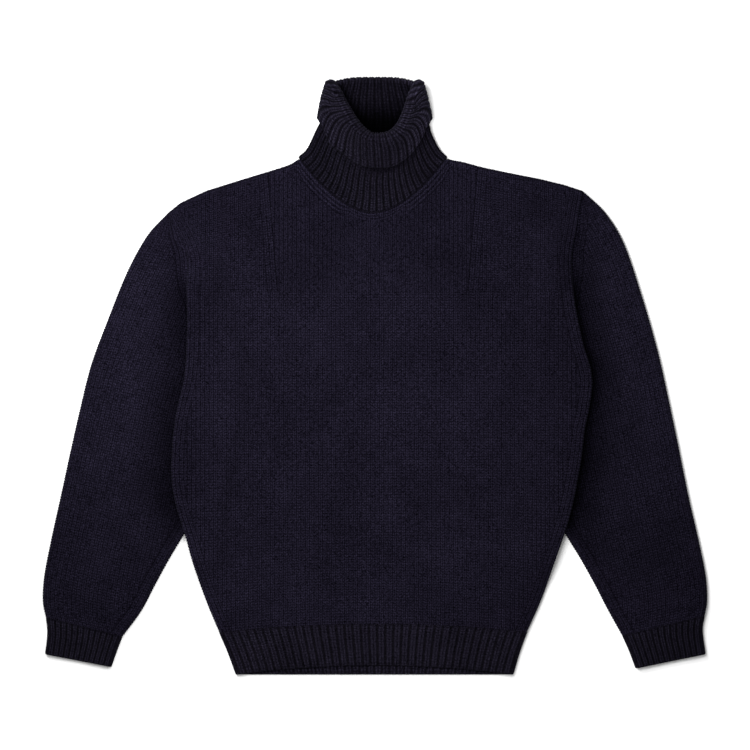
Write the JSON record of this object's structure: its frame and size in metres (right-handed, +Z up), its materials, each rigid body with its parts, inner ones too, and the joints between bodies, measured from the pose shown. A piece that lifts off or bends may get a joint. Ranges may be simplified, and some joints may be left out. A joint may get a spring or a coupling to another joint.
{
  "type": "turtleneck sweater",
  "caption": "Thick knit long-sleeved turtleneck sweater laid flat, with a turned-down ribbed collar, ribbed cuffs and hem, and finer-knit shoulder panels.",
  "frame": {"origin": "middle of the bounding box, on the surface that the sweater lies on", "axes": "+X to the right as seen from above, +Y towards the collar, +Z up from the surface through the front"},
  "size_m": [0.884, 0.7954, 0.0529],
  "materials": {
    "plain_knit": "matte thick wool in plain knit, dark navy, slightly hairy",
    "fine_knit": "matte wool in a finer plain knit, dark navy, slightly hairy",
    "rib_knit": "matte thick wool in one by one rib, dark navy, slightly hairy"
  },
  "bodies": {
    "root": {"front": "plain_knit", "back": "plain_knit", "sleeve_left": "plain_knit", "sleeve_right": "plain_knit", "shoulder_patch_left": "fine_knit", "shoulder_patch_right": "fine_knit", "collar": "rib_knit", "hem_rib_front": "rib_knit", "hem_rib_back": "rib_knit", "cuff_left": "rib_knit", "cuff_right": "rib_knit"}
  },
  "joints": []
}
